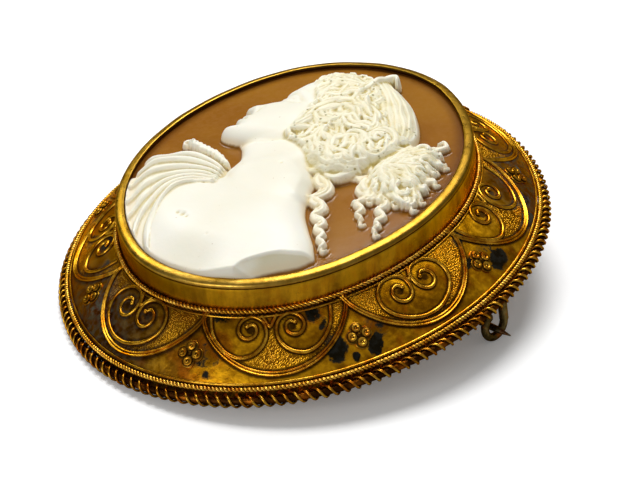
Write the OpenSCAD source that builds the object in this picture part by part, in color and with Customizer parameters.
// A cameo brooch: a carved shell oval held by a tall collar in a raised hollow border,
// with applied wirework on the border and a pin, hinge and hook on its back.
// It lies on its back as it rests by itself, on the hook, the hinge and the coiled edge.
// Lengths are in mm. The brooch's own plane has x to its right, y to its top and z outwards,
// with zero at the middle of the rim rope.

/* [Oval] */
// Half the width of the oval, at the rim rope
rim_half_w = 22.85; // [21.5:0.05:25.5]
// Half the height of the oval, at the rim rope
rim_half_h = 27; // [26:0.1:32]
// Radius of the arcs at the top and bottom of the oval
end_r = 20; // [17:0.1:20.8]

/* [Border] */
// Width of the border seen from the front, from rope to rope
border_w = 5.6; // [4.5:0.1:6.5]
// Rise of the border's face from its edge to the collar
border_rise = 4.35; // [3:0.05:6]
// How far the face bulges over a straight slope
border_bulge = 0.35; // [0:0.05:0.8]
// Thickness of the sheet metal
sheet_t = 0.5; // [0.3:0.05:0.7]
// Height of the outer wall below the rim rope
edge_h = 1.5; // [1.2:0.1:2.5]

/* [Ropes and coil] */
// Thickness of the twisted ropes
rope_d = 0.5; // [0.3:0.05:0.8]
// Outer diameter of the coiled edge
coil_d = 1.3; // [0.9:0.1:1.6]
// How far the coil's middle lies below the rim rope
coil_drop = 1; // [0.9:0.05:1.3]

/* [Collar] */
// Height of the collar's top above the border's inner edge
collar_h = 3.1; // [2.4:0.1:4]
// Thickness of the collar's wall
collar_t = 0.35; // [0.25:0.05:0.5]
// Width of the lip that is turned in over the cameo
lip_w = 1; // [0.8:0.05:1.4]
// Thickness of the lip
lip_t = 0.5; // [0.35:0.05:0.7]
// Thickness of the seat under the cameo
seat_t = 0.5; // [0.3:0.1:0.8]

/* [Cameo] */
// Thickness of the shell at its edge
shell_t = 2.2; // [1.5:0.1:3]
// Rise of the plain ground from its edge to the middle
shell_dome = 0.8; // [0:0.1:1.5]
// Height of the figure above the ground
relief_h = 2.8; // [1:0.1:3.5]

/* [Wirework] */
// Number of arcs round the border
scallop_n = 9; // [7:1:12]
// Depth of an arc, as a share of the border's face
scallop_depth = 0.83; // [0.6:0.01:0.86]
// Thickness of the arc's wire
scallop_wire_d = 0.46; // [0.3:0.02:0.6]
// Thickness of the spiral wires
scroll_wire_d = 0.36; // [0.24:0.02:0.44]
// Distance across a rosette
rosette_w = 2.6; // [1.8:0.1:3]

/* [Hook] */
// Radius of the hook, to the middle of its wire
hook_r = 1.35; // [1.25:0.05:1.6]
// Thickness of the hook's wire
hook_wire_d = 0.8; // [0.6:0.05:0.9]
// Distance of the hook's middle below the back
hook_drop = 3.2; // [2.8:0.1:4]
// How far in from the rim rope the hook's foot stands
hook_inset = 0.95; // [0.9:0.05:1.6]
// Height of the pin's line at the hook above the oval's middle
hook_y = -3.8; // [-6:0.1:-2]

/* [Hinge and pin] */
// How much the pin slants down from the hinge to the hook, seen from the front
pin_slant = 22; // [10:0.5:25]
// Distance from the hinge to the hook
pin_run = 42; // [38:0.5:43]
// Thickness of the pin
pin_d = 0.8; // [0.6:0.05:0.9]
// Length of the thicker shoulder beside the hinge
pin_shoulder = 3; // [2:0.5:5]
// Length of the straight stem that goes through the cloth
pin_straight = 33; // [25:0.5:34]
// How far the pin's point reaches past the hook's middle
pin_past = 2; // [1.5:0.1:3]
// Length of the pin's point
pin_point = 1.6; // [1:0.1:2]
// Depth of the hinge's axis below the back
hinge_drop = 1.7; // [1.6:0.1:2]
// Radius of the hinge's ears
ear_r = 1.2; // [1.1:0.05:1.4]
// Thickness of each ear
ear_t = 0.7; // [0.5:0.05:1]
// Width of the pin's eye between the ears
eye_w = 1.2; // [1:0.1:1.6]
// Thickness of the rivet
rivet_d = 0.8; // [0.6:0.05:0.9]

/* [Hidden] */

// Space between two soldered pieces
seam = 0.02;
// Radial play of the rivet in the pin's eye
pivot_play = 0.05;
// Play on each side of the pin's eye
side_play = 0.1;
// Metal round the rivet in the pin's eye, and what the shoulder has over the stem's radius
eye_wall = 0.5;
shoulder_more = 0.25;
// Radius of the pin's blunted tip
tip_r = 0.06;

rope_r = rope_d / 2;
coil_r = coil_d / 2;
hook_wire_r = hook_wire_d / 2;
pin_r = pin_d / 2;
rivet_r = rivet_d / 2;

// Distances inward from the rim rope
wall_in = rope_r + seam;
collar_in = border_w + rope_r;
coil_in = wall_in - seam - coil_r;
back_z = -edge_h;

// The oval: end arcs about (0, +-end_c) and side arcs about (-+side_c, 0), tangent at the joint angle
end_c = rim_half_h - end_r;
side_r = (pow(rim_half_w, 2) + pow(end_c, 2) - pow(end_r, 2)) / (2 * (rim_half_w - end_r));
side_c = side_r - rim_half_w;
joint_a = atan2(end_c, side_c);

// Fineness of round forms, and the sections round the oval
round_fn = 96;
wire_fn = 24;
oval_steps = 72;

function turn(a) = a - 360 * floor((a + joint_a) / 360);
function arc_centre(a) =
    let (t = turn(a))
    t <= joint_a ? [-side_c, 0] :
    t < 180 - joint_a ? [0, end_c] :
    t <= 180 + joint_a ? [side_c, 0] : [0, -end_c];
function arc_radius(a) = arc_centre(a).x == 0 ? end_r : side_r;

// Point of the oval whose outward direction is a, d inward from the rim rope
function oval_point(a, d) = arc_centre(a) + (arc_radius(a) - d) * [cos(a), sin(a)];

// Height of the border's face, d inward from the rim rope
function face_share(d) = (d - wall_in) / (collar_in - wall_in);
edge_z = 0.15;
function face_z(d) =
    let (t = face_share(d)) edge_z + border_rise * t + border_bulge * 4 * t * (1 - t);
function face_slope(d) =
    atan((border_rise + border_bulge * 4 * (1 - 2 * face_share(d))) / (collar_in - wall_in));
function face_normal(a, d) =
    let (f = face_slope(d)) [sin(f) * cos(a), sin(f) * sin(a), cos(f)];

// Lengths along the oval, measured anticlockwise from the bottom at half the border's width
mid_in = border_w / 2;
end_run = (end_r - mid_in) * (90 - joint_a) * PI / 180;
side_run = (side_r - mid_in) * joint_a * PI / 180;
oval_run = 4 * (end_run + side_run);
cell_run = oval_run / scallop_n;
function per_mm(r) = 180 / PI / (r - mid_in);
function run_direction(run) =
    let (s = run - oval_run * floor(run / oval_run))
    s < end_run ? -90 + s * per_mm(end_r) :
    s < end_run + 2 * side_run ? -joint_a + (s - end_run) * per_mm(side_r) :
    s < 3 * end_run + 2 * side_run ? joint_a + (s - end_run - 2 * side_run) * per_mm(end_r) :
    s < 3 * end_run + 4 * side_run ? 180 - joint_a + (s - 3 * end_run - 2 * side_run) * per_mm(side_r) :
    180 + joint_a + (s - 3 * end_run - 4 * side_run) * per_mm(end_r);

// Point over the border's face: run along the oval, share of the face from the collar, lift off the face
function face_point(run, share, lift) =
    let (a = run_direction(run), d = border_w * (1 - share), p = oval_point(a, d))
    [p.x, p.y, face_z(d)] + lift * face_normal(a, d);
function face_out(run, share) = face_normal(run_direction(run), border_w * (1 - share));

// The collar and the shell
collar_foot_z = edge_z + border_rise;
collar_top_z = collar_foot_z + collar_h;
lip_under_z = collar_top_z - lip_t;
shell_in = collar_in + collar_t + seam;
shell_top_z = lip_under_z - seam;
seat_z = shell_top_z - shell_t - seam;
seat_w = lip_w;

// The pin's line, seen from the front, and the hook and hinge on it
along = [cos(pin_slant), -sin(pin_slant), 0];
across = [sin(pin_slant), cos(pin_slant), 0];
foot_x = sqrt(pow(side_r - hook_inset, 2) - pow(hook_y, 2)) - side_c;
hook_z = back_z - hook_drop;
hook_mid = [foot_x, hook_y, hook_z] - hook_r * across;
hinge_z = back_z - hinge_drop;
hinge_mid = [hook_mid.x, hook_mid.y, hinge_z] - pin_run * along;
// The closed pin bears on the hook, a little below its middle
pin_low = hook_r - hook_wire_r - pin_r - seam;
pin_dip = atan((hinge_z - hook_z + pin_low) / pin_run);

// The rest: the floor touches the hook, the lower edge of the hinge and the coil.
// Each step takes the lowest points for one slope of the floor and makes the plane through them.
function flat_unit(v, axis) = let (w = v - (v * axis) * axis) w / norm(w);
function hook_low(up) = hook_mid - hook_r * flat_unit(up, along) - hook_wire_r * up;
function hinge_low(up) =
    hinge_mid - ear_r * flat_unit(up, across) - sign(up * across) * (hinge_half_w) * across;
function coil_low(up) =
    let (p = oval_point(atan2(-up.y, -up.x), coil_in)) [p.x, p.y, -coil_drop] - coil_r * up;
function plane_up(p, q, r) = let (n = cross(q - p, r - p)) n / (n.z < 0 ? -norm(n) : norm(n));
function settle(up, steps) =
    steps == 0 ? up : settle(plane_up(hook_low(up), hinge_low(up), coil_low(up)), steps - 1);
hinge_half_w = eye_w / 2 + side_play + ear_t;
first_up = [0.1, 0.1, 1] / norm([0.1, 0.1, 1]);
rest_up = settle(first_up, 12);
rest_lift = -rest_up * hook_low(rest_up);

// The origin is on the floor, below the middle of the coiled edge
module at_rest() {
    translate([-coil_drop * rest_up.x, -coil_drop * rest_up.y, rest_lift])
        rotate(a = acos(rest_up.z), v = cross(rest_up, [0, 0, 1]))
            children();
}

// An oval ring whose section is listed anticlockwise as [distance inward from the rim rope, height],
// seen with the outside of the oval to the right
module oval_ring(section) {
    n = len(section);
    points = [for (k = [0:oval_steps - 1]) for (q = section)
        let (p = oval_point(360 * k / oval_steps, q[0])) [p.x, p.y, q[1]]];
    walls = [for (k = [0:oval_steps - 1]) for (i = [0:n - 1])
        let (
            a = k * n + i,
            b = k * n + (i + 1) % n,
            c = (k + 1) % oval_steps * n + (i + 1) % n,
            e = (k + 1) % oval_steps * n + i
        )
        each [[a, b, c], [a, c, e]]];
    polyhedron(points = points, faces = walls);
}

// An oval ring of round wire
module oval_wire(d, z, r, sides) {
    oval_ring([for (k = [0:sides - 1])
        let (a = 360 * k / sides) [d - r * cos(a), z + r * sin(a)]]);
}

// A wire swept along points, with the face's outward direction at each point
module swept_wire(path, outs, r, sides, closed) {
    n = len(path);
    function at(i) = path[closed ? (i + n) % n : max(0, min(n - 1, i))];
    rings = [for (i = [0:n - 1])
        let (
            t = at(i + 1) - at(i - 1),
            side = cross(t, outs[i]) / norm(cross(t, outs[i])),
            out = cross(side, t) / norm(cross(side, t))
        )
        for (k = [0:sides - 1])
            path[i] + r * (cos(360 * k / sides) * side + sin(360 * k / sides) * out)];
    walls = [for (i = [0:closed ? n - 1 : n - 2]) for (k = [0:sides - 1])
        let (
            j = (i + 1) % n,
            a = i * sides + k,
            b = i * sides + (k + 1) % sides,
            c = j * sides + (k + 1) % sides,
            e = j * sides + k
        )
        each [[a, b, c], [a, c, e]]];
    ends = closed ? [] : [
        [for (k = [sides - 1:-1:0]) k],
        [for (k = [0:sides - 1]) (n - 1) * sides + k]];
    polyhedron(points = rings, faces = concat(walls, ends));
}

// The hollow border is open towards the collar, which closes it
module border() {
    steps = 6;
    inner_in = collar_in - seam;
    wall_inner = wall_in + sheet_t;
    under = sheet_t * 1.3;
    face = [for (i = [0:steps]) let (d = wall_in + (inner_in - wall_in) * i / steps) [d, face_z(d)]];
    hollow = [for (t = [1, 0.5, 0])
        let (d = wall_inner + (inner_in - wall_inner) * t) [d, face_z(d) - under]];
    color("darkgoldenrod")
        oval_ring(concat(
            [[wall_in, back_z]], face, hollow,
            [[wall_inner, back_z + sheet_t], [inner_in, back_z + sheet_t], [inner_in, back_z]]));
}

module bezel() {
    inner = collar_in + collar_t;
    lip_in = collar_in + lip_w;
    seat_in = inner + seat_w;
    color("gold")
        oval_ring([
            [collar_in, back_z],
            [collar_in, collar_top_z - 0.5 * lip_t],
            [collar_in + 0.12 * lip_w, collar_top_z - 0.15 * lip_t],
            [collar_in + 0.4 * lip_w, collar_top_z],
            [collar_in + 0.75 * lip_w, collar_top_z - 0.15 * lip_t],
            [lip_in, collar_top_z - 0.7 * lip_t],
            [lip_in - 0.05 * lip_w, lip_under_z],
            [inner, lip_under_z],
            [inner, seat_z],
            [seat_in, seat_z],
            [seat_in, seat_z - seat_t],
            [inner, seat_z - seat_t],
            [inner, back_z]]);
}

// The masses of the figure. Places and sizes are shares of the shell's half width and half height,
// the turn is in degrees, and the height is a share of relief_h.
function mass_x(m) = m[0];
function mass_y(m) = m[1];
function mass_w(m) = m[2];
function mass_h(m) = m[3];
function mass_turn(m) = m[4];
function mass_rise(m) = m[5];
masses = [
    // x, y, half width, half height, turn, rise
    [0.19, 0.41, 0.38, 0.36, -20, 1.00], // hair over the skull
    [-0.13, 0.33, 0.24, 0.25, 10, 0.80], // face
    [0.15, -0.08, 0.22, 0.30, 12, 0.72], // neck
    [0.12, -0.46, 0.52, 0.34, 8, 0.84], // shoulder and chest
    [0.66, 0.06, 0.20, 0.30, -8, 0.52], // knot of curls at the nape
    [0.36, -0.30, 0.13, 0.32, 20, 0.80], // long lock
    [-0.44, -0.36, 0.46, 0.20, -48, 0.60], // folds of the dress
    [-0.66, 0.04, 0.24, 0.12, -20, 0.44] // gathered edge of the dress
];
shell_half_w = rim_half_w - shell_in;
shell_half_h = rim_half_h - shell_in;

function mass_height(m, p) =
    let (
        dx = p.x / shell_half_w - mass_x(m),
        dy = (p.y / shell_half_h - mass_y(m)) * shell_half_h / shell_half_w,
        u = (dx * cos(mass_turn(m)) + dy * sin(mass_turn(m))) / mass_w(m),
        v = (dy * cos(mass_turn(m)) - dx * sin(mass_turn(m))) / (mass_h(m) * shell_half_h / shell_half_w),
        far = norm([u, v])
    )
    far >= 1 ? 0 : mass_rise(m) * (1 - pow(far, 3));
// Masses that meet run into each other, the more sharply the higher the power
blend = 6;
function total(list) = [for (x = list) 1] * list;
function figure_height(p) =
    relief_h * pow(total([for (m = masses) pow(mass_height(m, p), blend)]), 1 / blend);
// The ground and the figure start inside the lip
lip_edge_w = rim_half_w - collar_in - lip_w;
free_share = 0.985 * lip_edge_w / shell_half_w;
function shell_height(p, share) =
    shell_top_z
    + (share > 0.999 * free_share ? 0 : shell_dome * (1 - pow(share / free_share, 2)) + figure_height(p));

module cameo() {
    rings = 22;
    spokes = oval_steps;
    seat_gap = 2 * seam;
    function ring_share(i) = i == 0 ? 1 : free_share * (1 - (i - 1) / (rings - 1));
    outline = [for (k = [0:spokes - 1]) oval_point(360 * k / spokes, shell_in)];
    top = [for (i = [0:rings - 1]) for (p = outline)
        let (q = p * ring_share(i)) [q.x, q.y, shell_height(q, ring_share(i))]];
    bottom = [for (p = outline) [p.x, p.y, seat_z + seat_gap]];
    middle = [[0, 0, shell_height([0, 0], 0)], [0, 0, seat_z + seat_gap]];
    last = (rings - 1) * spokes;
    foot = rings * spokes;
    tip = foot + spokes;
    slope = [for (i = [0:rings - 2]) for (k = [0:spokes - 1])
        let (a = i * spokes + k, b = i * spokes + (k + 1) % spokes)
        each [[a, a + spokes, b + spokes], [a, b + spokes, b]]];
    cap = [for (k = [0:spokes - 1]) [last + k, tip, last + (k + 1) % spokes]];
    side = [for (k = [0:spokes - 1])
        let (b = (k + 1) % spokes)
        each [[k, b, foot + b], [k, foot + b, foot + k]]];
    base = [for (k = [0:spokes - 1]) [foot + k, foot + (k + 1) % spokes, tip + 1]];
    color("sienna")
        polyhedron(points = concat(top, bottom, middle), faces = concat(slope, cap, side, base));
}

module collar_rope() {
    lift = rope_r + 2 * seam;
    d = border_w - seam;
    color("goldenrod") oval_wire(d, face_z(d) + lift / cos(face_slope(d)), rope_r, 6);
}

module rim_rope() {
    color("goldenrod") oval_wire(0, 0, rope_r, 6);
}

module rim_coil() {
    color("peru") oval_wire(coil_in, -coil_drop, coil_r, 8);
}

// The arcs meet under the collar rope, and the first meeting is at the bottom of the oval
scallop_start = 0.09;
scallop_fullness = 0.8;
module scallops() {
    steps = 14;
    lift = scallop_wire_d / 2 + seam;
    places = [for (c = [0:scallop_n - 1]) for (i = [0:steps - 1])
        let (
            u = 2 * i / steps - 1,
            depth = scallop_start + (scallop_depth - scallop_start) * pow(1 - u * u, scallop_fullness)
        )
        [(c + i / steps) * cell_run, depth]];
    color("goldenrod")
        swept_wire(
            [for (p = places) face_point(p[0], p[1], lift)],
            [for (p = places) face_out(p[0], p[1])],
            scallop_wire_d / 2, 6, true);
}

// Spirals inside the arcs. In a far pair the spirals start at the arc's ends and stand apart,
// in a near pair they start at the arc's lowest point and make a heart.
// Columns: the eye's distance from the arc's middle and its depth, and the first turn's reach across
// and down; what a whole turn leaves of them. Widths are shares of one arc's length, depths are shares
// of the border's face.
function eye_x(s) = s[0];
function eye_depth(s) = s[1];
function reach_x(s) = s[2];
function reach_depth(s) = s[3];
function shrink(s) = s[4];
far_pair = [0.142, 0.270, 0.160, 0.335, 0.303];
near_pair = [0.104, 0.305, 0.195, 0.420, 0.350];
spiral_turns = 1.25;
// Where the lead of a far spiral starts, and how far the heart's point dips
lead_reach = 0.262;
lead_depth = 0.127;
heart_dip = 0.017;

// Place in one arc's cell: share of the arc's length from its middle, share of the face from the collar
function spiral_place(s, a, way) =
    let (left = pow(shrink(s), a / 360))
    [-eye_x(s) + way * reach_x(s) * left * sin(a), eye_depth(s) + reach_depth(s) * left * cos(a)];
function far_lead(s, a) =
    [-eye_x(s) - lead_reach * cos(a), lead_depth + (eye_depth(s) + reach_depth(s) - lead_depth) * sin(a)];
function near_lead(s, t) = [-eye_x(s) * t, eye_depth(s) + reach_depth(s) + heart_dip * (1 - t)];

module spiral(cell, s, far, mirror) {
    step = 30;
    lead = far ? [for (a = [10:20:70]) far_lead(s, a)] : [near_lead(s, 0.12), near_lead(s, 0.55)];
    coil = [for (a = [0:step:spiral_turns * 360]) spiral_place(s, a, far ? 1 : -1)];
    places = [for (p = concat(lead, coil)) [(cell + 0.5 + mirror * p.x) * cell_run, p.y]];
    lift = scroll_wire_d / 2 + seam;
    swept_wire(
        [for (p = places) face_point(p[0], p[1], lift)],
        [for (p = places) face_out(p[0], p[1])],
        scroll_wire_d / 2, 5, false);
}

// The two kinds take turns up both sides from the bottom, with a far pair first on the right
function is_far(cell) = (cell <= (scallop_n - 1) / 2) == (cell % 2 == 0);

module scrolls() {
    color("goldenrod")
        for (cell = [0:scallop_n - 1]) for (side = [-1, 1])
            spiral(cell, is_far(cell) ? far_pair : near_pair, is_far(cell), side);
}

// A rosette is four petals and a bead on the slope, where two arcs meet
rosette_share = 0.6;
module rosette() {
    petal_r = rosette_w * 0.26;
    petal_t = 0.35;
    for (k = [0:3]) rotate([0, 0, 90 * k]) translate([rosette_w / 2 - petal_r, 0, 0])
        cylinder(h = petal_t, r = petal_r, $fn = wire_fn);
    cylinder(h = petal_t + seam, r = petal_r * 0.8, $fn = wire_fn);
    translate([0, 0, petal_t]) sphere(r = petal_r * 0.55, $fn = wire_fn);
}

module rosettes() {
    color("gold")
        for (c = [0:scallop_n - 1])
            translate(face_point(c * cell_run, rosette_share, 2 * seam))
                rotate([0, 0, run_direction(c * cell_run)])
                    rotate([0, face_slope(border_w * (1 - rosette_share)), 0])
                        rosette();
}

// The hook stands on the back, with its open side towards the back and away from the leg
module c_clasp() {
    foot_t = 0.4;
    foot_r = 0.65;
    leg_r = hook_wire_r + 0.05;
    ball_r = hook_wire_r + 0.08;
    sweep = 235;
    color("olive")
        translate([hook_mid.x, hook_mid.y, 0]) rotate([0, 0, -pin_slant]) {
            translate([0, 0, hook_z]) rotate([90, 0, 90]) rotate([0, 0, -sweep])
                rotate_extrude(angle = sweep, $fn = round_fn)
                    translate([hook_r, 0]) circle(r = hook_wire_r, $fn = wire_fn);
            translate([0, hook_r, hook_z - 0.1])
                cylinder(h = back_z - seam - hook_z + 0.1, r = leg_r, $fn = wire_fn);
            translate([0, hook_r, back_z - seam - foot_t])
                cylinder(h = foot_t, r = foot_r, $fn = wire_fn);
            translate([0, hook_r * cos(sweep), hook_z - hook_r * sin(sweep)])
                sphere(r = ball_r, $fn = wire_fn);
        }
}

module at_hinge() {
    translate([hinge_mid.x, hinge_mid.y, hinge_mid.z]) rotate([0, 0, -pin_slant]) children();
}

module hinge() {
    base_t = 0.4;
    base_l = 2 * ear_r + 0.6;
    top = hinge_drop - seam;
    color("olive")
        at_hinge() difference() {
            union() {
                translate([-base_l / 2, -hinge_half_w, top - base_t])
                    cube([base_l, 2 * hinge_half_w, base_t]);
                for (side = [-1, 1]) {
                    ear_start = side > 0 ? hinge_half_w - ear_t : -hinge_half_w;
                    translate([0, ear_start + ear_t, 0]) rotate([90, 0, 0])
                        cylinder(h = ear_t, r = ear_r, $fn = round_fn);
                    translate([-ear_r, ear_start, 0]) cube([2 * ear_r, ear_t, top - base_t / 2]);
                }
            }
            rotate([90, 0, 0])
                cylinder(h = 4 * hinge_half_w, r = rivet_r + seam, center = true, $fn = wire_fn);
        }
}

module hinge_rivet() {
    color("darkkhaki")
        at_hinge() rotate([90, 0, 0])
            cylinder(h = 2 * hinge_half_w, r = rivet_r, center = true, $fn = wire_fn);
}

// A length of the pin along its own line
module pin_part(start, length, r1, r2) {
    translate([start, 0, 0]) rotate([0, 90, 0])
        cylinder(h = length, r1 = r1, r2 = r2, $fn = wire_fn);
}

module pin() {
    eye_r = rivet_r + pivot_play + eye_wall;
    shoulder_r = pin_r + shoulder_more;
    neck_r = 0.85 * pin_r;
    straight_end = pin_shoulder + pin_straight;
    tip = pin_run + pin_past;
    color("darkkhaki")
        at_hinge() rotate([0, pin_dip, 0]) difference() {
            union() {
                rotate([90, 0, 0]) cylinder(h = eye_w, r = eye_r, center = true, $fn = round_fn);
                pin_part(0, pin_shoulder, shoulder_r, shoulder_r);
                pin_part(pin_shoulder, pin_straight, pin_r, pin_r);
                pin_part(straight_end, tip - pin_point - straight_end, pin_r, neck_r);
                pin_part(tip - pin_point, pin_point, neck_r, tip_r);
            }
            rotate([90, 0, 0])
                cylinder(h = 2 * eye_w, r = rivet_r + pivot_play, center = true, $fn = wire_fn);
        }
}

at_rest() border();
at_rest() bezel();
at_rest() cameo();
at_rest() collar_rope();
at_rest() rim_rope();
at_rest() rim_coil();
at_rest() scallops();
at_rest() scrolls();
at_rest() rosettes();
at_rest() c_clasp();
at_rest() hinge();
at_rest() hinge_rivet();
at_rest() pin();
